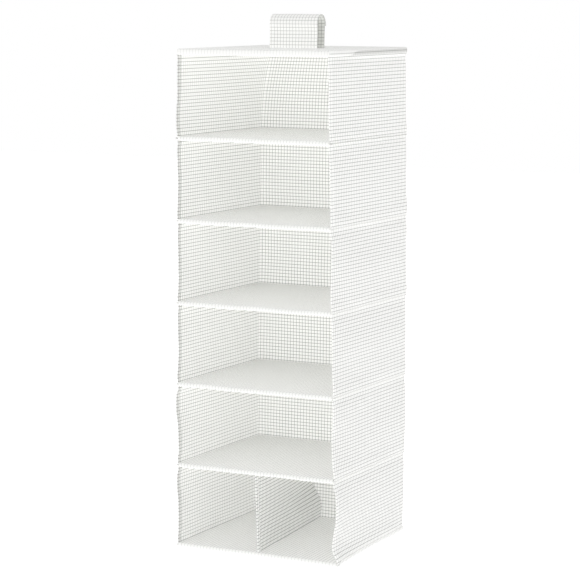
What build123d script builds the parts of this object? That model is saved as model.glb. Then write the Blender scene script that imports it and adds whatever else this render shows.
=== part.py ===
from build123d import *
import math
import os

# Hanging shoe organiser: a column of cloth tiers, open at the front, that hangs from a wardrobe rail.
# Every level has a stiff board sewn into a cloth sleeve, and cloth walls join one level to the next, so
# the whole column folds flat. A strap with hook-and-loop tape closes over the rail.
#
# Frame, in millimetres: the origin is the rail's axis in the strap's loop, X runs along the rail and
# across the front, Y runs from the open front to the back wall, and Z is up.

# Column
body_width = 300.0
body_depth = 300.0
body_height = 900.0
tier_count = 6
divider_front_offset = 5.0
divider_rear_offset = -13.0

# Cloth and boards
wall_thickness = 1.2
sleeve_thickness = 2.0
top_board_thickness = 7.0
shelf_board_thickness = 4.0
board_clearance = 0.5
board_corner = 5.0
band_round = 3.0
cover_round = 2.5

# Bindings on the cloth's front edges
tape_fold_thickness = 0.6
binding_depth = 9.0
binding_round = 0.5

# Seams between the tiers
seam_thickness = 2.4
seam_reach = 3.0
seam_corner = 4.0
ear_radius = 3.6

# Strap
rail_radius = 12.5
strap_width = 96.0
strap_drop = 44.0
foot_half_gap = 10.3
leaf_thickness = 1.2
grip_tape_thickness = 0.55
grip_tape_inset = 6.0
grip_tape_margin = 1.5
closure_gap = 0.3
flap_tail = 4.0
lap_tail = 8.0

# Worked out from the sizes above
half_width = body_width / 2
half_depth = body_depth / 2
inner_half_width = half_width - wall_thickness
inner_back = half_depth - wall_thickness
top_thickness = top_board_thickness + 2 * sleeve_thickness
shelf_thickness = shelf_board_thickness + 2 * sleeve_thickness
top_face = -strap_drop
top_underside = top_face - top_thickness
base_seam = top_face - body_height + shelf_thickness / 2
tier_pitch = (top_underside - base_seam) / tier_count
leaf_outside = rail_radius + leaf_thickness
loop_tape_outside = leaf_outside + grip_tape_thickness
hook_tape_inside = loop_tape_outside + closure_gap
front_leaf_inside = hook_tape_inside + grip_tape_thickness
front_leaf_outside = front_leaf_inside + leaf_thickness
leg_length = math.hypot(foot_half_gap, strap_drop)


def level(number):
    """Height of the seam at the foot of a tier; level 0 is the underside of the top panel."""
    return top_underside - number * tier_pitch


def write(node, shape):
    """Write one piece under its own name."""
    shape.label = node
    export_step(shape, f"parts/{node}.step")


def slab(x_span, y_span, z_span):
    """A flat panel between two values on each axis."""
    spans = (x_span, y_span, z_span)
    size = [high - low for low, high in spans]
    middle = [(high + low) / 2 for low, high in spans]
    return Pos(*middle) * Box(*size)


# Boards, and the sleeves sewn round them


def board(width, depth, thickness, middle):
    """A stiff card with rounded corners; middle is the centre of the board."""
    card = RectangleRounded(width, depth, board_corner)
    return middle * extrude(card, thickness / 2, both=True)


def sleeve(outside, width, depth, thickness, middle):
    """A cloth sleeve sewn shut round its board, which it holds with a little slack at the edges."""
    slack = 2 * board_clearance
    pocket = RectangleRounded(width + slack, depth + slack, board_corner + board_clearance)
    return outside - middle * extrude(pocket, thickness / 2, both=True)


def top_pieces():
    """The top panel: a thick board in a boxy cover with softened edges."""
    width = body_width - 2 * (sleeve_thickness + board_clearance)
    depth = body_depth - 2 * (sleeve_thickness + board_clearance)
    middle = Pos(0, 0, top_face - top_thickness / 2)
    block = middle * Box(body_width, body_depth, top_thickness)
    upper_edges = block.faces().sort_by(Axis.Z)[-1].edges()
    block = fillet([*block.edges().filter_by(Axis.Z), *upper_edges], cover_round)
    write("top_board", board(width, depth, top_board_thickness, middle))
    write("top_cover", sleeve(block, width, depth, top_board_thickness, middle))


def shelf_pieces(name, height):
    """One shelf or the base: it lies between the walls, and its front band is rounded."""
    sleeve_depth = half_depth + inner_back
    width = 2 * (inner_half_width - sleeve_thickness - board_clearance)
    depth = sleeve_depth - 2 * (sleeve_thickness + board_clearance)
    middle = Pos(0, inner_back - sleeve_depth / 2, height)
    block = middle * Box(2 * inner_half_width, sleeve_depth, shelf_thickness)
    front_edges = block.faces().sort_by(Axis.Y)[0].edges().filter_by(Axis.X)
    block = fillet(front_edges, band_round)
    write(f"{name}_board", board(width, depth, shelf_board_thickness, middle))
    write(f"{name}_sleeve", sleeve(block, width, depth, shelf_board_thickness, middle))


# Walls, their bindings and the seams


def binding(edge_middle, thickness, z_span):
    """A tape folded round a panel's front edge: a U in plan, with a rounded nose."""
    half = thickness / 2 + tape_fold_thickness
    nose = -half_depth - tape_fold_thickness
    tape = slab((-half, half), (nose, nose + binding_depth), z_span)
    nose_edges = tape.faces().sort_by(Axis.Y)[0].edges().filter_by(Axis.Z)
    tape = fillet(nose_edges, binding_round)
    tape -= slab((-thickness / 2, thickness / 2), (-half_depth, half_depth), z_span)
    return Pos(edge_middle, 0, 0) * tape


def wall_pieces(number):
    """The three walls of a tier, and the bindings of its two front edges."""
    z_span = (level(number), level(number - 1))
    side = (inner_half_width, half_width)
    write(f"tier_{number}_right_wall", slab(side, (-half_depth, half_depth), z_span))
    other_side = (-half_width, -inner_half_width)
    write(f"tier_{number}_left_wall", slab(other_side, (-half_depth, half_depth), z_span))
    back = (inner_back, half_depth)
    write(f"tier_{number}_back_wall", slab((-inner_half_width, inner_half_width), back, z_span))
    edge_middle = half_width - wall_thickness / 2
    free_span = clear_span(number)
    tapes = [binding(side * edge_middle, wall_thickness, free_span) for side in (-1, 1)]
    write(f"tier_{number}_front_bindings", Compound(children=tapes))


def clear_span(number):
    """Heights between which a tier is open: over the lower sleeve and under the upper one."""
    upper = level(number - 1)
    if number > 1:
        upper -= shelf_thickness / 2
    return (level(number) + shelf_thickness / 2, upper)


def seam(name, height):
    """The pinched seam round a level: a narrow ridge on three sides that ends in an ear at each front corner."""
    reach = half_width + seam_reach
    outline = Pos(0, seam_reach / 2) * RectangleRounded(2 * reach, body_depth + seam_reach, seam_corner)
    front_strip = Pos(0, -half_depth) * Rectangle(2 * reach, 2 * seam_corner)
    outline += front_strip
    outline -= Pos(0, -half_depth - seam_corner) * Rectangle(2 * reach, 2 * seam_corner)
    for side in (-1, 1):
        outline += Pos(side * (half_width + seam_reach - ear_radius), -half_depth) * Circle(ear_radius)
    outline -= Rectangle(body_width, body_depth)
    ridge = extrude(outline, seam_thickness / 2, both=True)
    write(f"{name}_seam", Pos(0, 0, height) * ridge)


def divider_pieces(number):
    """The panel that halves the last tier, sewn in a little aslant and bound along its front edge."""
    span = clear_span(number)
    half = wall_thickness / 2
    run = half_depth + inner_back
    drift = divider_rear_offset - divider_front_offset
    slant = Rot(0, 0, -math.degrees(math.atan2(drift, run)))
    turned = Pos(divider_front_offset, -half_depth) * slant * Pos(0, half_depth)
    panel = turned * slab((-half, half), (-half_depth, body_depth), span)
    panel &= slab((-half_width, half_width), (-body_depth, inner_back), span)
    write("divider_panel", panel)
    write("divider_binding", turned * binding(0, wall_thickness, span))


# Strap


def leg_angle(radius):
    """How far below the horizontal a leg from the strap's foot meets a circle round the rail, in degrees."""
    return math.degrees(math.atan2(strap_drop, foot_half_gap) - math.acos(radius / leg_length))


def round_the_rail(radius, angle, leg):
    """A point at an angle on a circle round the rail, or along the tangent past it by a leg; a leg that
    runs on from the front is positive, and one that runs back from the rear is negative."""
    turn = math.radians(angle)
    along = (-math.sin(turn) * leg, math.cos(turn) * leg)
    return (radius * math.cos(turn) + along[0], radius * math.sin(turn) + along[1])


def strap_layer(layer, rear_angle, front_angle, rear_leg, front_leg, width):
    """One layer of the strap, bent round the rail with a straight leg at each end, if it has one.

    The layer is its inner and outer radius, and the angles go from the back over the top to the front.
    """
    middle_angle = (rear_angle + front_angle) / 2
    outline = []
    ends = []
    for radius in layer:
        rear = round_the_rail(radius, rear_angle, 0)
        front = round_the_rail(radius, front_angle, 0)
        outline.append(ThreePointArc(rear, round_the_rail(radius, middle_angle, 0), front))
        rear_end = round_the_rail(radius, rear_angle, -rear_leg)
        front_end = round_the_rail(radius, front_angle, front_leg)
        if rear_leg:
            outline.append(Line(rear_end, rear))
        if front_leg:
            outline.append(Line(front, front_end))
        ends.append((rear_end, front_end))
    for inner_end, outer_end in zip(*ends):
        outline.append(Line(inner_end, outer_end))
    return extrude(Plane.YZ * make_face(outline), width / 2, both=True)


def above(shape, height):
    """Trim a strap layer at a height, where its foot meets the top panel."""
    return split(shape, bisect_by=Plane.XY.offset(height), keep=Keep.TOP)


def behind_apex(shape):
    """Keep what lies behind the top of the loop, clear of the front leaf's end by the closure gap."""
    return split(shape, bisect_by=Plane.XZ.offset(-closure_gap), keep=Keep.BOTTOM)


def strap_pieces():
    """The leaves of the strap, and the tapes that grip each other between them.

    The rear leaf goes over the rail and down inside the front leaf, whose free end is the flap.
    """
    apex = 90.0
    rear_angle = -leg_angle(rail_radius)
    front_angle = 180.0 + leg_angle(front_leaf_inside)
    past_the_foot = 2 * strap_drop
    inner_layer = (rail_radius, leaf_outside)
    outer_layer = (front_leaf_inside, front_leaf_outside)
    loop_layer = (leaf_outside, loop_tape_outside)
    hook_layer = (hook_tape_inside, front_leaf_inside)
    tape_width = strap_width - 2 * grip_tape_inset
    flap_tape_tail = flap_tail - grip_tape_margin
    lap_tape_tail = lap_tail - grip_tape_margin

    rear_leaf = strap_layer(inner_layer, rear_angle, front_angle, past_the_foot, lap_tail, strap_width)
    write("strap_rear_leaf", above(rear_leaf, top_face))
    front_leaf = strap_layer(outer_layer, apex, front_angle, 0, past_the_foot, strap_width)
    write("strap_front_leaf", above(front_leaf, top_face + closure_gap))
    flap = strap_layer(outer_layer, rear_angle, apex, flap_tail, 0, strap_width)
    write("strap_flap", behind_apex(flap))

    loop_tape = strap_layer(
        loop_layer, rear_angle, front_angle, flap_tape_tail, lap_tape_tail, tape_width
    )
    write("strap_loop_tape", loop_tape)
    front_hooks = strap_layer(hook_layer, apex, front_angle, 0, lap_tape_tail, tape_width)
    write("strap_front_hook_tape", front_hooks)
    flap_hooks = strap_layer(hook_layer, rear_angle, apex, flap_tape_tail, 0, tape_width)
    write("strap_flap_hook_tape", behind_apex(flap_hooks))


top_pieces()
for tier in range(1, tier_count + 1):
    foot = "base" if tier == tier_count else f"shelf_{tier}"
    wall_pieces(tier)
    shelf_pieces(foot, level(tier))
    seam(foot, level(tier))
divider_pieces(tier_count)
strap_pieces()
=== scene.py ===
import math

import bmesh
import bpy
import numpy as np
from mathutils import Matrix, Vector


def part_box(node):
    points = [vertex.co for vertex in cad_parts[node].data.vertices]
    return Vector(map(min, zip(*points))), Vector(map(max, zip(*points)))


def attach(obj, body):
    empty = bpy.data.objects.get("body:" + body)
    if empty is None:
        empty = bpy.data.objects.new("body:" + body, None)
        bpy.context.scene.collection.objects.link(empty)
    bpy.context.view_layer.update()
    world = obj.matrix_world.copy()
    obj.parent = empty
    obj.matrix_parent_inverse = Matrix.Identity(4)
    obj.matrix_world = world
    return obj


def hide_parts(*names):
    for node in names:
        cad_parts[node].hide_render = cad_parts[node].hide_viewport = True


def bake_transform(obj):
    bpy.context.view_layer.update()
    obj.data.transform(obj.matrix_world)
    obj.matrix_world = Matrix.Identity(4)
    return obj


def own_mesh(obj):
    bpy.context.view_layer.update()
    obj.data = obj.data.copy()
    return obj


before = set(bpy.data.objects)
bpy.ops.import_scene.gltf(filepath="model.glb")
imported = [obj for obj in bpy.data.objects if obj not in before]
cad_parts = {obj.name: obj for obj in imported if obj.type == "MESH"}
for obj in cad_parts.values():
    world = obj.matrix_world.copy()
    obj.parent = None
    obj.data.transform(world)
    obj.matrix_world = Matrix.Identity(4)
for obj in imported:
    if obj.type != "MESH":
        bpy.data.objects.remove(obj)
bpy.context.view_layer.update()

# Looks of a hanging shoe organiser: white gridded cloth walls, board-stiffened shelves and a
# strap that closes over a wardrobe rail. Lengths are metres. X runs along the rail, Y from the
# open front to the back, Z up, and the origin is the rail's axis in the strap's loop.

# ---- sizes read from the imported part
tiers = range(1, 7)
wall_low, wall_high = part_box("tier_1_right_wall")
WALL = wall_high.x - wall_low.x
HALF = wall_high.x
FRONT = wall_low.y
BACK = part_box("tier_1_back_wall")[1].y
LEVELS = [wall_high.z] + [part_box(f"tier_{n}_right_wall")[0].z for n in tiers]
FEET = {n: f"shelf_{n}" if n < 6 else "base" for n in tiers}
HOLDERS = {n: f"shelf_{n - 1}" if n > 1 else "hanger" for n in tiers}
STRAP_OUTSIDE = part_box("strap_front_leaf")[1].z
REAR_LEAF_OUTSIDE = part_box("strap_rear_leaf")[1].z
STRAP_HALF_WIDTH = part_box("strap_front_leaf")[1].x
STRAP_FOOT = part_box("strap_rear_leaf")[0].z

# ---- chosen sizes
CORNER = 0.005  # soft rounding of the two rear uprights, in plan
TWIST = -0.034  # how far the hanging cloth turns from top to bottom, in radians
SPREAD_ALL = 0.008  # share by which the cloth stands wider than its boards
SPREAD_FRONT = 0.042  # share by which the open front widens further at the bottom
SPREAD_REAR = 0.012  # the same at the back
REAR_LEFT_OUT = 0.003  # how far the rear left upright hangs out at the bottom
REAR_LEFT_IN = 0.020  # how far it is drawn in under the top panel
FRONT_LEFT_OUT = 0.0018  # how far the front left upright hangs out
REAR_RIGHT_BELLY = 0.0042  # how far the rear right upright stands out halfway down
LOW_CORNER = 0.005  # how far the lowest right front corner pokes out
LOW_CORNER_FROM = 0.88  # share of the way down from which it does
LOW_SAG = 0.0015  # and how far it sags
PUFF = 0.0013  # cloth standing out above a seam
TUCK = 0.0016  # cloth drawn in at and under a seam
SLOW_WAVE = 0.0013  # long unevenness of a hanging panel
QUICK_WAVE = 0.00025  # short unevenness of a hanging panel
CLOTH_STEP = 0.004  # spacing of the points on a hanging panel
CLOTH_SHARE = 0.8  # a cloth's thickness as a share of its CAD wall's
SEAM_FADE = 0.022  # distance from a seam at which a panel hangs free
FRONT_SLACK = 0.0016  # how far a front edge gives way to the back halfway up
TAPE_DEPTH = 0.009  # binding on a front edge, measured back from the edge
TAPE_FOLD = 0.0004  # thickness of one fold of the binding
RIDGE_REACH = 0.0012  # how far a pinched seam stands out from the walls
RIDGE_HALF = 0.0008  # half its height
EAR_REACH = 0.0036  # how far a seam's ends reach out in front
EAR_SWELL = 0.0028  # how much further an ear stands out to its side
EAR_HALF = 0.0008  # and half of how much taller it is than the seam
BASE_SEAM_LIFT = 0.0045  # how far the base's seam lies above its level
STITCH_PITCH = 0.0032
STITCH_LENGTH = 0.0022
STITCH_RADIUS = 0.00016
STITCH_INSET = 0.0018  # a binding's stitches, in from its rear edge
GRID_PITCH = 0.0062
GRID_LINE = 0.0007
COLUMN_SHIFT = 0.0011  # how far the upright lines move along from tier to tier
FIRST_ROW = 0.0047  # first line across a wall, above the seam at its foot
BAND = 0.0052  # plain front of a shelf's edge, before its first line across
COVER_LAP = 0.009  # how far the first wall laps up over the top panel's right side
LAP_OUT = 0.0028  # how far that lap stands out from the wall's plan
PILLOW_STEP = 0.006  # spacing of the points on a sleeve
SLEEVE_UNEVEN = 0.0003  # how uneven a sleeve's faces are
SLEEVE_STAND = 0.0017  # how far a sleeve's front stands out from its node
COVER_STAND = 0.0013  # how far the top cover stands out from its node all round
BASE_STAND = 0.0028  # how far the base's edge stands out over the walls
DIVIDER_BULGE = 0.018  # how far the divider bellies to the left at its rear
DIVIDER_LEAN = 0.0035  # how far its front edge leans to the left at its top
STRAP_SHIFT = 0.007  # how far the strap is sewn to the right of the middle
LEAF = 0.0012  # thickness of the strap's doubled cloth
FOOT_HALF_GAP = 0.0103  # half the gap between the strap's leaves at its foot
FLAP_TAIL = 0.004  # straight end of the flap behind the loop
LAP_TAIL = 0.008  # straight end of the rear leaf inside the front leaf
FOOT_FORWARD = 0.0045  # how far forward of its CAD foot the front leaf is sewn
FLAP_LIFT = 0.0018  # how far the flap's free end stands off the leaf below it
GRIP_INSET = 0.006  # grip tapes, in from the sides of the strap
GRIP_MARGIN = 0.0015  # and in from the ends of its leaves
TAPE_SHARE = 0.38  # a grip tape's share of the gap between the leaves
STRAP_INSIDE = (REAR_LEAF_OUTSIDE - LEAF, STRAP_OUTSIDE - LEAF)  # inner radii of the two leaves
STRAP_STEP = 0.0011  # spacing of the points along the strap
STRAP_ROW = 0.003  # stitches, in from the sides of the strap
STRAP_END_ROW = 0.004  # and in from its ends

WELD = 1e-6  # points closer than this become one
SHARP = math.radians(55)
CLOTH, THREAD, INSIDE_SHADE = 0, 1, 2  # a piece's materials, in their order

# ---- chosen looks
WHITE = (0.957, 0.958, 0.943)
SHADE = (0.928, 0.929, 0.912)
LINE = (0.20, 0.205, 0.19)
# Shelf and base cloth, a little lighter than the walls': painted light.
SHELF_WHITE = ((0.972, 0.973, 0.958), (0.95, 0.951, 0.935))
REAR_SHADE_REACH = 0.26  # distance over which a cloth turns to its far colour, a painted shade towards the rear
LAP_SHADE_FADE = 0.003  # and to its painted shade on the lap over the top panel
BAND_FADE = 0.004  # and from its folded edge's colour to its own
# Ground of a folded front edge, darker than the cloth's own: painted shade on its front face.
BAND_SHADE = (0.89, 0.892, 0.873)
BAND_INK = 0.42  # strength of the lines that are left on a folded edge
ROW_INK = 0.83  # strength of the lines across a cloth
COLUMN_INK = 0.70  # and of those up it
THREAD_PITCH = 0.0006  # spacing of the woven threads
WORLD_LEVEL = 0.87  # what the even studio gives a white surface
# Name, the way the light travels, and what a white surface facing the lamp gains.
LAMPS = (
    ("front_lamp", (0, 1, 0), 0.165), ("right_lamp", (-1, 0, 0), 0.12),
    ("left_lamp", (1, 0, 0), 0.15), ("low_lamp", (0, 0, 1), 0.53),
)
FLOOR_DROP = 0.36  # from the base to the floor
CAMERA_PLACE = (1.9254, -3.6122, 0.0646)
CAMERA_DOWN = 7.603  # degrees below level
CAMERA_TURN = 28.161  # degrees round from facing the open front
CAMERA_LENS = 141.07  # millimetres, for a sensor 36 mm wide


# ---- shapes in numbers
def ripple(seed, a, b, wavelength):
    """Smooth unevenness between about -1 and 1, the same for a seed on every run."""
    draw = np.random.default_rng(seed)
    waves = 7
    total = np.zeros(np.broadcast(a, b).shape)
    for _ in range(waves):
        heading = draw.uniform(0, math.tau)
        length = wavelength * draw.uniform(0.7, 1.9)
        start = draw.uniform(0, math.tau)
        along = a * math.cos(heading) + b * math.sin(heading)
        total = total + np.sin(along * math.tau / length + start)
    return total / math.sqrt(2 * waves)


def smooth(value):
    """0 below 0, 1 above 1 and an even S between."""
    held = np.clip(value, 0, 1)
    return held * held * (3 - 2 * held)


def bump(value, centre, width):
    """A soft rise of height 1 at a centre."""
    return np.exp(-(((value - centre) / width) ** 2))


def stations(low, high, step, rim, rim_count):
    """Positions from low to high, crowded towards both ends where an edge is rounded."""
    turns = np.linspace(0, math.pi / 2, rim_count + 1)[:-1]
    crowded = rim * (1 - np.cos(turns))
    count = max(2, round((high - low - 2 * rim) / step) + 1)
    middle = np.linspace(low + rim, high - rim, count)
    return np.concatenate([low + crowded, middle, high - crowded[::-1]])


def hung(points):
    """Points of the hanging cloth, which widens downward and turns about the upright axis."""
    depth = np.clip((LEVELS[0] - points[:, 2]) / (LEVELS[0] - LEVELS[-1]), 0, 1)
    to_front = (BACK - points[:, 1]) / (BACK - FRONT)
    to_right = (points[:, 0] + HALF) / (2 * HALF)
    widening = SPREAD_FRONT * to_front + SPREAD_REAR * (1 - to_front)
    rear_left = np.clip((1 - to_right) * (1 - to_front), 0, 1)
    rear_right = np.clip(to_right * (1 - to_front), 0, 1) * np.sin(math.pi * depth)
    lowest = smooth((depth - LOW_CORNER_FROM) / (1 - LOW_CORNER_FROM))
    low_corner = np.clip(to_right * to_front, 0, 1) ** 4 * lowest
    x = points[:, 0] * (1 + SPREAD_ALL + depth * widening)
    x = x - REAR_LEFT_OUT * depth**2 * rear_left + REAR_RIGHT_BELLY * rear_right
    x = x + LOW_CORNER * low_corner - FRONT_LEFT_OUT * (1 - to_right) * to_front
    turn = TWIST * (0.5 - depth)
    turned_x = x * np.cos(turn) - points[:, 1] * np.sin(turn)
    turned_y = x * np.sin(turn) + points[:, 1] * np.cos(turn)
    return np.stack([turned_x, turned_y, points[:, 2] - LOW_SAG * low_corner], axis=1)


# ---- parts of a mesh
# A part is (points, faces, weave, material index), where weave holds each point's place on the
# flat cloth, in metres.
def grid_faces(rows, columns, first=0, flip=False):
    """Quads over a grid of points numbered row by row."""
    faces = []
    for i in range(rows - 1):
        for j in range(columns - 1):
            a = first + i * columns + j
            quad = (a, a + 1, a + columns + 1, a + columns)
            faces.append(quad[::-1] if flip else quad)
    return faces


def rim_faces(rows, columns, offset):
    """Quads that close the edge between a grid and its copy numbered offset later."""
    ring = list(range(columns))
    ring += [i * columns + columns - 1 for i in range(1, rows)]
    ring += [(rows - 1) * columns + j for j in range(columns - 2, -1, -1)]
    ring += [i * columns for i in range(rows - 2, 0, -1)]
    pairs = zip(ring, ring[1:] + ring[:1])
    return [(a + offset, b + offset, b, a) for a, b in pairs]


def cloth_part(middle, thickness, weave, shaded_side=None):
    """A sheet of even thickness about a grid of points on its mid-surface.

    lining is the material of the side that the grid's normals point to, where it is another.
    """
    rows, columns = middle.shape[:2]
    normal = np.cross(np.gradient(middle, axis=1), np.gradient(middle, axis=0))
    normal /= np.linalg.norm(normal, axis=2, keepdims=True)
    one = (middle + normal * thickness / 2).reshape(-1, 3)
    other = (middle - normal * thickness / 2).reshape(-1, 3)
    size = rows * columns
    faces = grid_faces(rows, columns) + grid_faces(rows, columns, size, flip=True)
    faces += rim_faces(rows, columns, size)
    flat = weave.reshape(-1, 2)
    index = CLOTH
    if shaded_side is not None:
        lined = (rows - 1) * (columns - 1)
        index = [shaded_side] * lined + [CLOTH] * (len(faces) - lined)
    return np.concatenate([one, other]), faces, np.concatenate([flat, flat]), index


def tube_faces(count, around, first=0):
    """Quads between rings of points numbered in turn, and a cap at both ends."""
    faces = []
    for i in range(count - 1):
        for j in range(around):
            a = first + i * around + j
            b = first + i * around + (j + 1) % around
            faces.append((a, b, b + around, a + around))
    faces.append(tuple(range(first, first + around))[::-1])
    faces.append(tuple(range(first + (count - 1) * around, first + count * around)))
    return faces


def loft_part(rings, weave):
    """A solid through closed cross-sections of equal point count, capped at both ends."""
    return rings.reshape(-1, 3), tube_faces(*rings.shape[:2]), weave.reshape(-1, 2), CLOTH


def stitch_part(places, headings, normals):
    """A row of short threads lying on a surface, each a six-sided tube with tapered ends."""
    points, faces = [], []
    profile = [(-0.5, 0.35), (-0.38, 1.0), (0.38, 1.0), (0.5, 0.35)]
    sides = 6
    for place, heading, normal in zip(places, headings, normals):
        along = heading / np.linalg.norm(heading)
        up = normal / np.linalg.norm(normal)
        over = np.cross(up, along)
        faces += tube_faces(len(profile), sides, len(points))
        for share, swell in profile:
            centre = place + along * share * STITCH_LENGTH
            for k in range(sides):
                turn = math.tau * k / sides
                radial = over * math.cos(turn) + up * math.sin(turn)
                points.append(centre + radial * STITCH_RADIUS * swell)
    points = np.array(points)
    return points, faces, points[:, [0, 2]], THREAD


def merged(parts):
    """All parts together: their points, faces, places on the cloth and material per face."""
    points, faces, weave, indices = [], [], [], []
    start = 0
    for part_points, part_faces, part_weave, index in parts:
        points.append(part_points)
        weave.append(part_weave)
        faces += [tuple(start + k for k in face) for face in part_faces]
        indices += index if isinstance(index, list) else [index] * len(part_faces)
        start += len(part_points)
    return np.concatenate(points), faces, np.concatenate(weave), indices


def placed(name, data):
    """A new object in the scene."""
    thing = bpy.data.objects.new(name, data)
    bpy.context.scene.collection.objects.link(thing)
    return thing


def piece(name, parts, materials, body, nodes, hanging=True):
    """One object made of parts, riding on a body and standing for its CAD nodes."""
    points, faces, weave, indices = merged(parts)
    if hanging:
        points = hung(points)
    mesh = bpy.data.meshes.new(name)
    mesh.from_pydata(points.tolist(), [], faces)
    corners = np.empty(len(mesh.loops), dtype=np.int32)
    mesh.loops.foreach_get("vertex_index", corners)
    layer = mesh.uv_layers.new(name="weave")
    layer.data.foreach_set("uv", weave[corners].astype(np.float32).ravel())
    mesh.polygons.foreach_set("material_index", indices)
    for material in materials:
        mesh.materials.append(material)
    clean(mesh)
    thing = placed(name, mesh)
    if body:
        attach(thing, body)
    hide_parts(*nodes)
    return thing


def clean(mesh):
    """Weld doubled rim points, turn every face outward and smooth the gentle edges."""
    work = bmesh.new()
    work.from_mesh(mesh)
    bmesh.ops.remove_doubles(work, verts=work.verts, dist=WELD)
    bmesh.ops.recalc_face_normals(work, faces=work.faces)
    for face in work.faces:
        face.smooth = True
    work.to_mesh(mesh)
    work.free()
    mesh.set_sharp_from_angle(angle=SHARP)


# ---- materials
def calc(tree, operation, *values, clamp=False):
    """A Math node on sockets or numbers."""
    node = tree.nodes.new("ShaderNodeMath")
    node.operation = operation
    node.use_clamp = clamp
    for socket, value in zip(node.inputs, values):
        if isinstance(value, (int, float)):
            socket.default_value = value
        else:
            tree.links.new(value, socket)
    return node.outputs[0]


def new_material(name):
    """A material's tree and its Principled shader."""
    material = bpy.data.materials.new(name)
    material.use_nodes = True
    tree = material.node_tree
    return material, tree, tree.nodes["Principled BSDF"]


def over_object(tree, kind, scale):
    """A texture node of a kind, over the object's own coordinates."""
    node = tree.nodes.new(kind)
    node.inputs["Scale"].default_value = scale
    place = tree.nodes.new("ShaderNodeTexCoord").outputs["Object"]
    tree.links.new(place, node.inputs["Vector"])
    return node


def noise(tree, scale, detail=2.0):
    """A Noise texture's value."""
    node = over_object(tree, "ShaderNodeTexNoise", scale)
    node.inputs["Detail"].default_value = detail
    return node.outputs["Fac"]


def mixed_color(tree, factor, one, other):
    """A colour mix of two colours or sockets."""
    node = tree.nodes.new("ShaderNodeMix")
    node.data_type = "RGBA"
    node.clamp_factor = True
    tree.links.new(factor, node.inputs[0])
    for socket, value in zip([s for s in node.inputs if s.type == "RGBA"], (one, other)):
        if isinstance(value, tuple):
            socket.default_value = (*value, 1.0)
        else:
            tree.links.new(value, socket)
    return [s for s in node.outputs if s.type == "RGBA"][0]


def line_mask(tree, coordinate):
    """1 on the cloth's evenly spaced lines and 0 between them, over one cloth coordinate."""
    turns = calc(tree, "DIVIDE", coordinate, GRID_PITCH)
    away = calc(tree, "PINGPONG", turns, 0.5)
    past = calc(tree, "SUBTRACT", away, GRID_LINE * 0.75 / 2 / GRID_PITCH)
    fade = calc(tree, "DIVIDE", past, GRID_LINE * 0.5 / GRID_PITCH)
    return calc(tree, "SUBTRACT", 1.0, fade, clamp=True)


def add_bump(tree, shader, height, strength, distance):
    """Bump from a height socket."""
    node = tree.nodes.new("ShaderNodeBump")
    node.inputs["Strength"].default_value = strength
    node.inputs["Distance"].default_value = distance
    tree.links.new(height, node.inputs["Height"])
    tree.links.new(node.outputs["Normal"], shader.inputs["Normal"])


def weave_height(tree, u, v):
    """Over-and-under threads as a height between 0 and 1."""
    across = calc(tree, "SINE", calc(tree, "MULTIPLY", u, math.tau / THREAD_PITCH))
    along = calc(tree, "SINE", calc(tree, "MULTIPLY", v, math.tau / THREAD_PITCH))
    return calc(tree, "MULTIPLY_ADD", calc(tree, "MULTIPLY", across, along), 0.5, 0.5)


def woven_lines(tree, u, v, both_ways):
    """The grid's lines as a value between 0 and 1, or only those across the cloth."""
    rows = line_mask(tree, v)
    if not both_ways:
        return rows
    rows = calc(tree, "MULTIPLY", rows, ROW_INK)
    columns = calc(tree, "MULTIPLY", line_mask(tree, u), COLUMN_INK)
    both = calc(tree, "MULTIPLY", rows, columns)
    return calc(tree, "SUBTRACT", calc(tree, "ADD", rows, columns), both)


def cloth_ground(tree, along, white, shade, far, lap):
    """The cloudy colour between the lines, and where it turns to a painted shade towards the rear
    or on the lap.
    """
    ground = mixed_color(tree, calc(tree, "MULTIPLY", noise(tree, 28.0), 0.9), white, shade)
    # The far colour darkens a shelf's or the cover's cloth towards the rear: painted shade.
    if far:
        reach = calc(tree, "MULTIPLY", along[0], 1 / REAR_SHADE_REACH, clamp=True)
        ground = mixed_color(tree, reach, ground, far)
    # The lap over the top panel's side turns darker: painted shade under the panel's rim.
    if lap:
        past = calc(tree, "SUBTRACT", along[1], LEVELS[0] - LEVELS[1] - FIRST_ROW)
        lap_shade_share = calc(tree, "MULTIPLY", past, 1 / LAP_SHADE_FADE, clamp=True)
        ground = mixed_color(tree, lap_shade_share, ground, lap)
    return ground


def finish_cloth(tree, shader, threads, fibre, lines):
    """Raised threads and lines, and the dull sheen of cloth."""
    height = calc(tree, "MULTIPLY_ADD", fibre, 0.6, threads)
    raised = calc(tree, "MULTIPLY_ADD", lines, 0.35, height)
    add_bump(tree, shader, raised, 0.12, 0.0001)
    rough = calc(tree, "MULTIPLY_ADD", fibre, 0.15, 0.8)
    tree.links.new(rough, shader.inputs["Roughness"])
    shader.inputs["Specular IOR Level"].default_value = 0.25
    shader.inputs["Sheen Weight"].default_value = 0.08
    shader.inputs["Sheen Roughness"].default_value = 0.6


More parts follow.
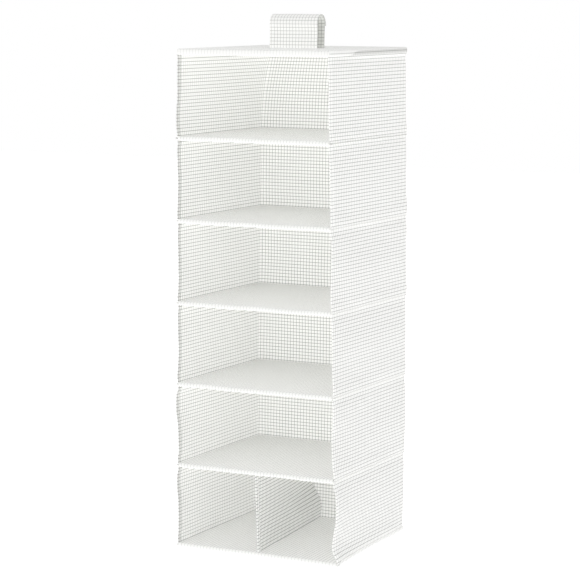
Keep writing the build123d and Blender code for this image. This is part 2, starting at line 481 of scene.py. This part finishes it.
def cloth_material(name, white, shade, strength, line=LINE, both_ways=True, band=False, far=None,
                   lap=None):
    """White cloth with woven-in grey grid lines, from cloth coordinates in metres.

    With a band, the lines are faint where the first coordinate is below zero, on a folded edge.
    The ground turns to a far colour along the first coordinate, from a shelf's front to its rear,
    and to a lap colour where a wall laps up over the top panel. These colours, and the darker
    grounds of some cloths, match shading seen in the photograph.
    """
    material, tree, shader = new_material(name)
    uv = tree.nodes.new("ShaderNodeUVMap")
    uv.uv_map = "weave"
    split = tree.nodes.new("ShaderNodeSeparateXYZ")
    tree.links.new(uv.outputs["UV"], split.inputs[0])
    u, v = split.outputs[0], split.outputs[1]
    fibre = noise(tree, 1400.0, 3.0)
    ground = cloth_ground(tree, (u, v), white, shade, far, lap)
    lines = woven_lines(tree, u, v, both_ways)
    yarn = calc(tree, "MULTIPLY_ADD", fibre, 0.5, 0.72, clamp=True)
    ink = calc(tree, "MULTIPLY", calc(tree, "MULTIPLY", lines, yarn), strength)
    if band:
        inside = calc(tree, "MULTIPLY_ADD", u, 1 / BAND_FADE, 0.5, clamp=True)
        kept = calc(tree, "MULTIPLY_ADD", inside, 1 - BAND_INK, BAND_INK)
        ink = calc(tree, "MULTIPLY", ink, kept)
        # The folded front edge turns to its darker ground: painted shade.
        ground = mixed_color(tree, inside, BAND_SHADE, ground)
    tree.links.new(mixed_color(tree, ink, ground, line), shader.inputs["Base Color"])
    finish_cloth(tree, shader, weave_height(tree, u, v), fibre, lines)
    return material


def finish(tree, shader, share, one, other, height, relief, rough, sheen):
    """Colour between two by a share, bump of a strength and distance from a height, and gloss."""
    tree.links.new(mixed_color(tree, share, one, other), shader.inputs["Base Color"])
    add_bump(tree, shader, height, *relief)
    shader.inputs["Roughness"].default_value = rough
    shader.inputs["Sheen Weight"].default_value = sheen


def thread_material():
    """Twisted white sewing thread."""
    material, tree, shader = new_material("sewing_thread")
    ply = noise(tree, 2200.0, 1.0)
    finish(tree, shader, ply, (0.93, 0.93, 0.9), (0.8, 0.8, 0.77), ply, (0.4, 0.0001), 0.55, 0.1)
    return material


def board_material():
    """Pale brown pressed fibreboard, with flecks."""
    material, tree, shader = new_material("fibreboard")
    fleck = noise(tree, 420.0, 6.0)
    tone = calc(tree, "MULTIPLY_ADD", noise(tree, 22.0), 0.4, calc(tree, "MULTIPLY", fleck, 0.6))
    finish(tree, shader, tone, (0.72, 0.62, 0.49), (0.46, 0.37, 0.26), fleck, (0.35, 0.0002),
           0.85, 0.0)
    return material


def grip_material(name, pitch, depth):
    """Hook or loop tape: a field of small hooks, or of fuzz when the pitch is fine."""
    material, tree, shader = new_material(name)
    away = over_object(tree, "ShaderNodeTexVoronoi", 1 / pitch).outputs["Distance"]
    fuzz = calc(tree, "MULTIPLY", noise(tree, 1.5 / pitch, 3.0), 0.6)
    height = calc(tree, "SUBTRACT", fuzz, away)
    # The tape darkens away from each hook or loop: painted shade in the hollows between them.
    finish(tree, shader, away, (0.93, 0.93, 0.91), (0.74, 0.74, 0.72), height, (0.8, depth),
           0.7, 0.2)
    return material


def off_white(level):
    """A grey with the cloth's faint warmth."""
    return (level, level + 0.002, level - 0.015)


grid_cloth = cloth_material("grid_cloth", WHITE, SHADE, 1.0)
# Wall cloth that darkens on its lap over the top panel: painted shade.
lap_shade_cloth = cloth_material("lap_shade_cloth", WHITE, SHADE, 1.0, lap=off_white(0.70))
# A darker copy of the grid cloth with stronger lines, for the left bindings: painted shade.
edge_shade_cloth = cloth_material("edge_shade_cloth", off_white(0.78), off_white(0.73), 1.5)
# Shelf tops darken towards the rear: painted shade.
shelf_cloth = cloth_material("shelf_cloth", *SHELF_WHITE, 0.9, band=True, far=off_white(0.865))
base_cloth = cloth_material("base_cloth", *SHELF_WHITE, 0.8, band=True)
# The cover darkens towards its rear: painted shade.
cover_cloth = cloth_material("cover_cloth", WHITE, SHADE, 0.55, band=True, far=off_white(0.85))
# The strap's darker ground is painted shade; its fainter lines are its doubled cloth.
strap_cloth = cloth_material("strap_cloth", off_white(0.90), off_white(0.87), 0.72)
# The divider's cloth, darker with darker lines: painted shade from the right wall.
divider_shade_cloth = cloth_material("divider_shade_cloth", off_white(0.87), off_white(0.82), 1.3,
                               line=(0.07, 0.072, 0.065))
# The inner faces of the strap's leaves, darker with strong lines: painted shade inside the loop.
strap_inside_shade = cloth_material("strap_inside_shade", (0.74, 0.745, 0.72), (0.66, 0.665, 0.64), 1.0)
# Seam cloth, darker than the walls': painted shade in the seams' creases, darkest at the first
# level.
seam_cloth = cloth_material("seam_cloth", off_white(0.80), off_white(0.72), 0.5, both_ways=False)
seam_crease_shade = cloth_material("seam_crease_shade_cloth", off_white(0.62), off_white(0.50), 0.9,
                              both_ways=False)
thread = thread_material()
fibreboard = board_material()
hook_tape = grip_material("hook_tape", 0.0016, 0.0006)
loop_tape = grip_material("loop_tape", 0.0007, 0.0003)


# ---- the walls' plan
SIDE_RUN = BACK - WALL / 2 - CORNER - FRONT
QUARTER = CORNER * math.pi / 2
BACK_RUN = 2 * (HALF - WALL / 2 - CORNER)
LEFT_END = SIDE_RUN + QUARTER / 2
RIGHT_START = SIDE_RUN + QUARTER * 1.5 + BACK_RUN
WHOLE_RUN = 2 * SIDE_RUN + 2 * QUARTER + BACK_RUN


def plan(s):
    """The walls' mid-line in plan from the left front edge round the back to the right front edge.

    Returns x, y and the outward direction's x and y at a distance s along it.
    """
    side = HALF - WALL / 2
    rear = BACK - WALL / 2
    first = np.clip((s - SIDE_RUN) / CORNER, 0, math.pi / 2)
    across = np.clip(s - SIDE_RUN - QUARTER, 0, BACK_RUN)
    second = np.clip((s - SIDE_RUN - QUARTER - BACK_RUN) / CORNER, 0, math.pi / 2)
    returned = np.maximum(s - SIDE_RUN - 2 * QUARTER - BACK_RUN, 0)
    turn = first + second
    out_x = -np.cos(turn)
    out_y = np.sin(turn)
    x = -side + CORNER + across + CORNER * out_x
    y = rear - CORNER + CORNER * out_y
    y = np.where(s < SIDE_RUN, FRONT + s, y) - returned
    return x, y, out_x, out_y


# Where a panel bulges outward or is drawn in: tier, side, height as a share of the tier, how far
# its front edge moves outward, and how far its rear does.
BULGES = (
    (1, "left", 0.25, 0.0035, 0.0), (4, "left", 0.15, 0.002, 0.0), (5, "left", 0.75, 0.004, 0.0),
    (6, "left", 0.8, 0.002, 0.0), (3, "right", 0.5, 0.0, 0.003), (4, "right", 0.6, 0.0, 0.004),
    (5, "right", 0.45, -0.003, 0.002), (6, "right", 0.2, -0.008, 0.0),
    (6, "right", 0.7, 0.004, 0.0),
)


def bulge_offset(tier, s, share):
    """How far the cloth stands outward from the bulges of its tier."""
    total = 0 * s
    for number, side, height, at_front, at_rear in BULGES:
        if number == tier:
            from_front = s if side == "left" else WHOLE_RUN - s
            on_side = smooth((SIDE_RUN - from_front) / 0.03)
            near = np.exp(-np.maximum(from_front, 0) / 0.09)
            reach = at_front * near + at_rear * (1 - near)
            total = total + reach * on_side * bump(share, height, 0.22) * smooth(share / 0.1)
    return total


def wall_offset(tier, s, z):
    """How far the cloth stands outward of its plan."""
    above = z - LEVELS[tier]
    below = np.maximum(LEVELS[tier - 1] - z, 0)
    free = smooth(np.minimum(above, below) / SEAM_FADE)
    slow = ripple(100 + tier, s, z * 1.3, 0.17)
    quick = ripple(200 + tier, s, z * 2.0, 0.045)
    puffs = bump(above, 0.012, 0.008) * (0.6 + 0.4 * ripple(300 + tier, s, 0 * z, 0.07))
    tucks = bump(below, 0.008, 0.007) * (0.7 + 0.3 * ripple(400 + tier, s, 0 * z, 0.06))
    waves = free * (SLOW_WAVE * slow + QUICK_WAVE * quick) + PUFF * puffs - TUCK * tucks
    return waves + free * bulge_offset(tier, s, above / (above + below))


def lap_share(tier, s):
    """Where the first tier's cloth is sewn over the top panel's side instead of under it."""
    if tier > 1:
        return 0 * s
    before_corner = smooth((s - RIGHT_START + 0.10) / 0.08)
    return before_corner * smooth((WHOLE_RUN - s - 0.045) / 0.075)


def lapped(tier, s, z):
    """Heights of a wall's points, drawn up where its upper edge laps over the top panel."""
    return z + COVER_LAP * lap_share(tier, s) * smooth((z - LEVELS[tier - 1] + 0.03) / 0.03)


def wall_points(tier, s, z):
    """Points of a tier's wall cloth, on its mid-surface."""
    x, y, out_x, out_y = plan(s)
    over = lap_share(tier, s) * smooth((z - LEVELS[tier - 1] + 0.004) / 0.005)
    out = wall_offset(tier, s, z) + LAP_OUT * over
    share = (z - LEVELS[tier]) / (LEVELS[tier - 1] - LEVELS[tier])
    nearest = np.maximum(np.minimum(s, WHOLE_RUN - s), 0)
    near_front = np.exp(-nearest / 0.03)
    slack = FRONT_SLACK * np.sin(math.pi * np.clip(share, 0, 1)) * near_front
    rear_left = np.clip((HALF - x) * (y - FRONT) / (2 * HALF * (BACK - FRONT)), 0, 1)
    drawn_in = REAR_LEFT_IN * np.clip(share, 0, 1) ** 2 * rear_left if tier == 1 else 0
    return np.stack([x + out_x * out + drawn_in, y + out_y * out + slack, z], axis=-1)


def wall_piece(tier, side, s_low, s_high):
    """One cloth wall of a tier."""
    along = np.linspace(s_low, s_high, round((s_high - s_low) / CLOTH_STEP))
    turns = [start + QUARTER * k / 8 for start in (SIDE_RUN, SIDE_RUN + QUARTER + BACK_RUN)
             for k in range(9)]
    inside = [t for t in turns if s_low < t < s_high]
    along = np.unique(np.round(np.concatenate([along, inside]), 6))
    heights = stations(LEVELS[tier], LEVELS[tier - 1], CLOTH_STEP, 0.016, 7)
    s, z = np.meshgrid(along, heights)
    z = lapped(tier, s, z)
    weave = np.stack([s + COLUMN_SHIFT * tier, z - LEVELS[tier] - FIRST_ROW], axis=-1)
    node = f"tier_{tier}_{side}_wall"
    part = cloth_part(wall_points(tier, s, z), WALL * CLOTH_SHARE, weave)
    cloth = lap_shade_cloth if (tier, side) == (1, "right") else grid_cloth
    wall = piece(f"{node}_cloth", [part], [cloth], HOLDERS[tier], [node])
    fold(wall)
    return wall


def fold(thing):
    """Gives a tier's cloth a mesh of its own."""
    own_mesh(thing)


# ---- bindings
def tape_section():
    """A tape folded round an edge, as (depth behind it, distance from the mid-surface) pairs."""
    slot = WALL * CLOTH_SHARE / 2 + 0.00004
    outside = WALL / 2 + TAPE_FOLD
    nose = [(-TAPE_FOLD * math.sin(t), outside * math.cos(t)) for t in np.linspace(0, math.pi, 9)]
    shares = ((1, 0.86), (0.97, 1), (0.66, 1), (0.33, 1))
    one = [(TAPE_DEPTH * share, outside * lift) for share, lift in shares]
    other = [(depth, -distance) for depth, distance in one[::-1]]
    inner = [(TAPE_DEPTH, -slot), (TAPE_DEPTH / 2, -slot), (0.0001, -slot)]
    inner += [(depth, -distance) for depth, distance in inner[::-1]]
    return one + nose + other + inner


def tape_rings(surface, heights):
    """Cross-sections of a binding up an edge, on a surface given by depth and height."""
    depth, lift = np.array(tape_section()).T
    rings = []
    for z in heights:
        points, normals = surface(depth, np.full(len(depth), z))
        rings.append(points + normals * lift[:, None])
    around = np.concatenate([[0], np.cumsum(np.hypot(np.diff(depth), np.diff(lift)))])
    u, v = np.meshgrid(around, heights)
    return np.array(rings), np.stack([u, v], axis=-1)


def edge_surface(tier, side):
    """The wall's mid-surface near a front edge, by depth behind the edge and height."""
    def surface(depth, z):
        s = depth if side == "left" else WHOLE_RUN - depth
        points = wall_points(tier, s, z)
        return points, np.zeros_like(points) + (-1 if side == "left" else 1, 0, 0)
    return surface


def tape_stitches(surface, span):
    """A row of stitches up both faces of a binding."""
    heights = np.arange(span[0] + 0.003, span[1] - 0.003, STITCH_PITCH)
    points, normals = surface(np.full(len(heights), TAPE_DEPTH - STITCH_INSET), heights)
    headings = np.tile([0.0, 0.0, 1.0], (len(heights), 1))
    parts = []
    for face in (-1, 1):
        places = points + normals * face * (WALL / 2 + TAPE_FOLD)
        parts.append(stitch_part(places, headings, normals * face))
    return parts


def binding_parts(surface, span, first_row=0.0):
    """A bound edge between two heights: its folded tape, and the stitches on both faces."""
    rings, weave = tape_rings(surface, np.linspace(*span, 40))
    weave[..., 1] -= first_row
    return [loft_part(rings, weave), *tape_stitches(surface, span)]


def front_bindings(tier):
    """The two bound front edges of a tier."""
    node = f"tier_{tier}_front_bindings"
    low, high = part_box(node)
    made = []
    for side in ("left", "right"):
        surface = edge_surface(tier, side)
        parts = binding_parts(surface, (low.z, high.z), LEVELS[tier] + FIRST_ROW)
        # The left bindings, inside the tier, take the darker cloth: painted shade.
        tape_cloth = edge_shade_cloth if side == "left" else grid_cloth
        tape = piece(f"tier_{tier}_{side}_binding", parts, [tape_cloth, thread], HOLDERS[tier],
                     [node])
        fold(tape)
        made.append(tape)
    return made


# ---- boards and their sleeves
def rounded_edge(distance, rim, power):
    """Share of the full height at a distance inside a rounded edge."""
    inside = 1 - np.clip(distance / rim, 0, 1)
    return (1 - inside**power) ** (1 / power)


def rounded_corners(x, y, half, low, high, front_radius):
    """Plan positions with the corners of the square panel rounded."""
    middle = (low + high) / 2
    reach = (high - low) / 2
    away_x, away_y = np.abs(x), np.abs(y - middle)
    corner = np.where(y > middle, CORNER, front_radius)
    p = np.clip((away_x - (half - corner)) / corner, 0, 1)
    q = np.clip((away_y - (reach - corner)) / corner, 0, 1)
    x = x - np.sign(x) * corner * p * (1 - np.sqrt(1 - q * q / 2))
    y = y - np.sign(y - middle) * corner * q * (1 - np.sqrt(1 - p * p / 2))
    return x, y


def arc_lengths(positions, heights):
    """Length along a profile, zero at its middle."""
    steps = np.hypot(np.diff(positions), np.diff(heights))
    length = np.concatenate([[0], np.cumsum(steps)])
    return length - length[-1] / 2


def pillow_part(spans, middle, half_height, rim, power, front_radius, seed):
    """A closed cloth sleeve round a flat board: two faces that meet in a rounded edge."""
    (left, right), (low, high) = spans
    xs = stations(left, right, PILLOW_STEP, rim, 7)
    ys = stations(low, high, PILLOW_STEP, rim, 7)
    x, y = np.meshgrid(xs, ys)
    edge_x = np.minimum(xs - left, right - xs)
    edge_y = np.minimum(ys - low, high - ys)
    rise_x = rounded_edge(edge_x, rim, power)
    rise_y = rounded_edge(edge_y, rim, power)
    rise = half_height * rise_y[:, None] * rise_x
    across = arc_lengths(xs, rise_x * half_height)
    inward = arc_lengths(ys, rise_y * half_height)
    u, v = np.meshgrid(across, inward - inward[0] - BAND)
    inner = smooth(np.minimum(edge_x, edge_y[:, None]) / 0.03)
    front = np.exp(-(y - low) / 0.012)
    plan_x, plan_y = rounded_corners(x, y, (right - left) / 2, low, high, front_radius)
    plan_y = plan_y - front * 0.0005 * (1 + ripple(seed + 3, x, 0 * x, 0.05))
    wave = front * 0.0006 * ripple(seed + 4, x, 0 * x, 0.09)
    faces_points = []
    for side in (1, -1):
        uneven = inner * SLEEVE_UNEVEN * ripple(seed + side, x, y, 0.09)
        z = middle + wave + side * rise + uneven
        faces_points.append(np.stack([plan_x, plan_y, z], axis=-1).reshape(-1, 3))
    rows, columns = x.shape
    size = rows * columns
    faces = grid_faces(rows, columns) + grid_faces(rows, columns, size, flip=True)
    weave = np.stack([v, u], axis=-1).reshape(-1, 2)
    return np.concatenate(faces_points), faces, np.concatenate([weave, weave]), CLOTH


def sleeve_piece(number):
    """The sleeve of one shelf, or of the base."""
    foot = FEET[number]
    node = f"{foot}_sleeve"
    low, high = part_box(node)
    stand = BASE_STAND if foot == "base" else 0.0
    spans = ((low.x - stand, high.x + stand), (low.y - SLEEVE_STAND, high.y - 0.0006 + stand))
    part = pillow_part(spans, LEVELS[number], (high.z - low.z) / 2, 0.0038, 2.2,
                       0.003, 500 + 10 * number)
    cloth = base_cloth if foot == "base" else shelf_cloth
    made = piece(f"{foot}_sleeve_cloth", [part], [cloth], foot, [node])


def cover_piece():
    """The boxy cover of the top panel."""
    low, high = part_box("top_cover")
    spans = ((low.x - COVER_STAND, high.x + COVER_STAND),
             (low.y - COVER_STAND, high.y + COVER_STAND))
    part = pillow_part(spans, (low.z + high.z) / 2, (high.z - low.z) / 2, 0.0032, 2.8, 0.004, 590)
    made = piece("top_cover_cloth", [part], [cover_cloth], "hanger", ["top_cover"])


def dress_boards():
    """A material for the boards, whose CAD shape is right as it is."""
    for node in ("top_board", *(f"{foot}_board" for foot in FEET.values())):
        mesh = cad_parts[node].data
        mesh.materials.clear()
        mesh.materials.append(fibreboard)


# ---- seams
def seam_line(number, s):
    """A level's seam along the walls: its x and y, the outward direction, and its height."""
    lift = BASE_SEAM_LIFT if FEET[number] == "base" else 0.0
    from_end = np.minimum(s, WHOLE_RUN - s)
    drift = 0.0004 * ripple(620 + number, s, 0, 0.06) + lift * smooth(from_end / 0.02)
    return *plan(s), LEVELS[number] + drift


def ridge_part(number):
    """The pinched cloth of a seam: a soft ridge on three sides with an ear at each front end."""
    ahead = EAR_REACH * (1 - np.cos(np.linspace(0, math.pi / 2, 7)))
    inner = np.arange(EAR_REACH, WHOLE_RUN - EAR_REACH, CLOTH_STEP)
    s = np.concatenate([ahead - EAR_REACH, inner, WHOLE_RUN + EAR_REACH - ahead[::-1]])
    from_end = np.minimum(s, WHOLE_RUN - s)
    ear = np.exp(-((from_end / 0.005) ** 2))
    closing = np.sqrt(np.clip(1 - np.clip(-from_end / EAR_REACH, 0, 1) ** 2, 0.0004, 1))
    uneven = 1 + 0.12 * ripple(610 + number, s, 0, 0.03)
    reach = (RIDGE_REACH * uneven + EAR_SWELL * ear) * closing
    half = (RIDGE_HALF + EAR_HALF * ear) * closing
    x, y, out_x, out_y, height = seam_line(number, s)
    turns = np.linspace(0, math.tau, 13)[:-1]
    rings, weave = [], []
    for i in range(len(s)):
        out = WALL / 2 + reach[i] * (np.cos(turns) * 0.5 + 0.35)
        z = height[i] + half[i] * np.sin(turns)
        rings.append(np.stack([x[i] + out_x[i] * out, y[i] + out_y[i] * out, z], axis=-1))
        weave.append(np.stack([half[i] * turns, np.full(len(turns), s[i])], axis=-1))
    return loft_part(np.array(rings), np.array(weave))


def seam_stitches(number):
    """Stitches along a seam, above and below it."""
    marks = np.arange(0.004, WHOLE_RUN - 0.004, STITCH_PITCH)
    x, y, out_x, out_y, height = seam_line(number, marks)
    out = WALL / 2 + RIDGE_REACH * 0.35
    headings = np.stack([out_y, -out_x, 0 * x], axis=-1)
    parts = []
    for face in (-1, 1):
        z = height + face * RIDGE_HALF * 0.98
        places = np.stack([x + out_x * out, y + out_y * out, z], axis=-1)
        normals = np.tile([0.0, 0.0, float(face)], (len(marks), 1))
        parts.append(stitch_part(places, headings, normals))
    return parts


def seam_piece(number):
    """The pinched and stitched seam round a level."""
    foot = FEET[number]
    parts = [ridge_part(number), *seam_stitches(number)]
    # The first seam takes the darkest cloth: painted shade in its crease.
    cloth = seam_crease_shade if number == 1 else seam_cloth
    piece(f"{foot}_seam_ridge", parts, [cloth, thread], foot, [f"{foot}_seam"])


# ---- divider
def divider_surface(depth, z):
    """The divider's mid-surface and its direction, by depth behind its front edge and height."""
    low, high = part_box("divider_panel")
    front = high.x - WALL / 2
    rear = low.x + WALL / 2
    share = np.clip((z - low.z) / (high.z - low.z), 0, 1)
    back = np.clip(depth / (high.y - low.y), 0, 1)
    bulge = DIVIDER_BULGE * smooth((share - 0.16) / 0.34) * smooth((1 - share) / 0.3)
    drawn = 0.004 + bulge + 0.0015 * smooth(1 - share / 0.14)
    wave = 0.0008 * ripple(700, depth, z, 0.14) * smooth(depth / 0.04)
    leaning = DIVIDER_LEAN * share * (1 - back)
    x = front + back * (rear - front) - back**2 * drawn - leaning + wave
    points = np.stack([x, low.y + depth, z], axis=-1)
    aslant = math.atan2(rear - front, high.y - low.y)
    return points, np.zeros_like(points) + (math.cos(aslant), -math.sin(aslant), 0)


def divider_pieces():
    """The cloth panel that halves the last tier, and its bound front edge."""
    low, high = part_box("divider_panel")
    tape_low, tape_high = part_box("divider_binding")
    depths = np.linspace(0, high.y - low.y, 76)
    depth, z = np.meshgrid(depths, stations(low.z, high.z, CLOTH_STEP, 0.012, 5))
    points, _ = divider_surface(depth, z)
    weave = np.stack([depth, z - low.z - 0.0012], axis=-1)
    part = cloth_part(points, WALL * CLOTH_SHARE, weave)
    panel = piece("divider_panel_cloth", [part], [divider_shade_cloth], HOLDERS[6],
                  ["divider_panel"])
    fold(panel)
    parts = binding_parts(divider_surface, (tape_low.z, tape_high.z))
    tape = piece("divider_front_binding", parts, [divider_shade_cloth, thread], HOLDERS[6],
                 ["divider_binding"])
    fold(tape)


# ---- strap
def leg_angle(radius):
    """How far past level a leg from the strap's foot meets a circle round the rail, in radians."""
    drop = -STRAP_FOOT
    return math.atan2(drop, FOOT_HALF_GAP) - math.acos(radius / math.hypot(FOOT_HALF_GAP, drop))


def travel(line):
    """Distances along a line of points from its first."""
    return np.concatenate([[0], np.cumsum(np.linalg.norm(np.diff(line, axis=0), axis=1))])


def strap_line(radius, rear_tail, front_tail):
    """Mid-line of a strap leaf as (y, z) points and outward directions, from rear to front.

    A tail is the straight length past the round; None runs down to the strap's foot.
    """
    rear = -leg_angle(STRAP_INSIDE[0])
    front = math.pi + leg_angle(STRAP_INSIDE[1])
    ends = []
    for angle, tail, sign in ((rear, rear_tail, -1), (front, front_tail, 1)):
        out = np.array([math.cos(angle), math.sin(angle)])
        start = out * radius
        heading = np.array([-math.sin(angle), math.cos(angle)]) * sign
        if tail is None:
            tail = (start[1] - STRAP_FOOT) / -heading[1]
        points = start + np.arange(tail, 0, -STRAP_STEP)[:, None] * heading
        ends.append((points, np.tile(out, (len(points), 1))))
    turns = np.linspace(rear, front, round(radius * (front - rear) / STRAP_STEP))
    out = np.stack([np.cos(turns), np.sin(turns)], axis=-1)
    line = np.concatenate([ends[0][0], out * radius, ends[1][0][::-1]])
    outs = np.concatenate([ends[0][1], out, ends[1][1][::-1]])
    return line, outs


def leaf_part(line, outs, half_width, thickness, seed, shaded_side):
    """A strap leaf of doubled cloth swept along its mid-line, and its length."""
    xs = stations(-half_width, half_width, 0.004, 0.0016, 4)
    x, index = np.meshgrid(xs, np.arange(len(line)))
    travelled = travel(line)
    wave = 0.00025 * ripple(seed, x, travelled[index], 0.05)
    middle = np.stack([x + STRAP_SHIFT, line[index][..., 0] + outs[index][..., 0] * wave,
                       line[index][..., 1] + outs[index][..., 1] * wave], axis=-1)
    weave = np.stack([x + 0.0015, travelled[index]], axis=-1)
    return cloth_part(middle, thickness, weave, shaded_side), travelled[-1]


def strap_stitches(line, outs, face):
    """Stitches along both sides and across both ends of a leaf, on its outer (1) or inner face."""
    travelled = travel(line)
    marks = np.arange(0.004, travelled[-1] - 0.003, STITCH_PITCH)
    y, z = (np.interp(marks, travelled, line[:, k]) for k in (0, 1))
    out_y, out_z = (np.interp(marks, travelled, outs[:, k]) for k in (0, 1))
    lift = LEAF / 2 * face
    side = STRAP_HALF_WIDTH - STRAP_ROW
    places, headings, normals = [], [], []
    for x in (-side, side):
        for i in range(len(marks)):
            places.append((STRAP_SHIFT + x, y[i] + out_y[i] * lift, z[i] + out_z[i] * lift))
            headings.append((0, -out_z[i], out_y[i]))
            normals.append((0, out_y[i] * face, out_z[i] * face))
    for mark in (STRAP_END_ROW, travelled[-1] - STRAP_END_ROW):
        k = int(np.argmin(abs(travelled - mark)))
        end_y, end_z = line[k] + outs[k] * lift
        for x in np.arange(-side, side, STITCH_PITCH):
            places.append((x + STRAP_SHIFT, end_y, end_z))
            headings.append((1, 0, 0))
            normals.append((0, outs[k, 0] * face, outs[k, 1] * face))
    return stitch_part(np.array(places), np.array(headings, float), np.array(normals, float))


def settled(line, outs):
    """The outer leaf as it hangs: its foot sewn further forward, the flap's end a little off."""
    low = smooth((-0.010 - line[:, 1]) / 0.034) * (line[:, 0] < 0)
    lifted = line + outs * FLAP_LIFT * smooth(1 - travel(line) / 0.014)[:, None]
    lifted[:, 0] -= FOOT_FORWARD * low
    return lifted


def bend(thing):
    """Bakes the strap cloth's placement into its mesh."""
    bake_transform(thing)


def strap_leaf(name, body, nodes, line, outs, face, seed):
    """A leaf of the strap along its mid-line, stitched on its outer (1) or inner (-1) face."""
    # The leaf's inner face takes the darker cloth: painted shade inside the loop.
    part, length = leaf_part(line, outs, STRAP_HALF_WIDTH, LEAF, seed, INSIDE_SHADE)
    parts = [part, strap_stitches(line, outs, face)]
    leaf = piece(name, parts, [strap_cloth, thread, strap_inside_shade], body, nodes,
                 hanging=False)
    if body is None:
        bend(leaf)


def grip_tape(name, node_names, material, body):
    """A grip tape on a leaf, its place between the leaves taken from its CAD node's box."""
    thick = TAPE_SHARE * (STRAP_OUTSIDE - LEAF - REAR_LEAF_OUTSIDE)
    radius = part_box(node_names[0])[1].z - thick / 2
    line, outs = strap_line(radius, FLAP_TAIL - GRIP_MARGIN, LAP_TAIL - GRIP_MARGIN)
    half_width = STRAP_HALF_WIDTH - GRIP_INSET
    part, length = leaf_part(line, outs, half_width, thick, 820, None)
    tape = piece(name, [part], [material], body, node_names, hanging=False)
    if body is None:
        bend(tape)


def strap_pieces():
    """The strap's two leaves, and the tapes that grip each other between them."""
    inner = REAR_LEAF_OUTSIDE - LEAF / 2
    line, outs = strap_line(inner, None, LAP_TAIL)
    strap_leaf("strap_rear_leaf_cloth", "hanger", ["strap_rear_leaf"], line, outs, -1, 810)
    outer = STRAP_OUTSIDE - LEAF / 2
    line, outs = strap_line(outer, FLAP_TAIL, None)
    strap_leaf("strap_outer_leaf", None, ["strap_front_leaf", "strap_flap"],
               settled(line, outs), outs, 1, 800)
    grip_tape("strap_loop_pile", ["strap_loop_tape"], loop_tape, "hanger")
    grip_tape("strap_hook_pile", ["strap_front_hook_tape", "strap_flap_hook_tape"], hook_tape,
              None)


# ---- stage, light and camera
def seen_directly(tree):
    """1 for rays from the camera, glossy rays and rays through glass."""
    path = tree.nodes.new("ShaderNodeLightPath")
    some = calc(tree, "MAXIMUM", path.outputs["Is Camera Ray"], path.outputs["Is Glossy Ray"])
    return calc(tree, "MAXIMUM", some, path.outputs["Is Transmission Ray"])


def make_world(strength):
    """An even white studio."""
    world = bpy.data.worlds.new("studio")
    bpy.context.scene.world = world
    world.use_nodes = True
    tree = world.node_tree
    back = tree.nodes["Background"]
    back.inputs["Color"].default_value = (1, 1, 1, 1)
    level = calc(tree, "MULTIPLY_ADD", seen_directly(tree), 1 - strength, strength)
    tree.links.new(level, back.inputs["Strength"])


def make_floor(height):
    """A plain pale floor below the hanging organiser."""
    mesh = bpy.data.meshes.new("floor")
    size = 12.0
    corners = [(x * size, y * size, height) for x, y in ((-1, -1), (1, -1), (1, 1), (-1, 1))]
    mesh.from_pydata(corners, [], [(0, 1, 2, 3)])
    floor = placed("floor", mesh)
    material, tree, shader = new_material("floor_white")
    shader.inputs["Base Color"].default_value = (0.9, 0.9, 0.9, 1)
    shader.inputs["Roughness"].default_value = 0.9
    shader.inputs["Emission Color"].default_value = (1, 1, 1, 1)
    glow = calc(tree, "MULTIPLY", seen_directly(tree), 0.35)
    tree.links.new(glow, shader.inputs["Emission Strength"])
    mesh.materials.append(material)


def add_lamp(name, toward, level):
    """A broad, shadowless lamp far away; level is what a white surface facing it gains.

    Thin white cloth passes light on, so the tiers are nearly as bright inside as outside.
    """
    lamp = bpy.data.lights.new(name, "SUN")
    lamp.energy = math.pi * level
    lamp.angle = math.radians(60)
    lamp.use_shadow = False
    lamp.cycles.use_multiple_importance_sampling = False
    placed(name, lamp).rotation_euler = Vector(toward).to_track_quat("-Z", "Y").to_euler()


def make_camera():
    """A long lens from the front right, a little above the top panel."""
    camera = bpy.data.cameras.new("camera")
    camera.lens = CAMERA_LENS
    camera.sensor_width = 36.0
    camera.clip_end = 30.0
    thing = placed("camera", camera)
    thing.location = CAMERA_PLACE
    thing.rotation_euler = (math.radians(90 - CAMERA_DOWN), 0, math.radians(CAMERA_TURN))
    bpy.context.scene.camera = thing


# ---- the whole organiser
for tier in tiers:
    sleeve_piece(tier)
cover_piece()
for tier in tiers:
    bindings = front_bindings(tier)
    left = wall_piece(tier, "left", 0.0, LEFT_END)
    rear = wall_piece(tier, "back", LEFT_END, RIGHT_START)
    right = wall_piece(tier, "right", RIGHT_START, WHOLE_RUN)
    seam_piece(tier)
divider_pieces()
strap_pieces()
dress_boards()

make_world(WORLD_LEVEL)
make_floor(LEVELS[-1] - FLOOR_DROP)
for lamp_name, toward, level in LAMPS:
    add_lamp(lamp_name, toward, level)
make_camera()
bpy.context.scene.view_settings.view_transform = "Standard"
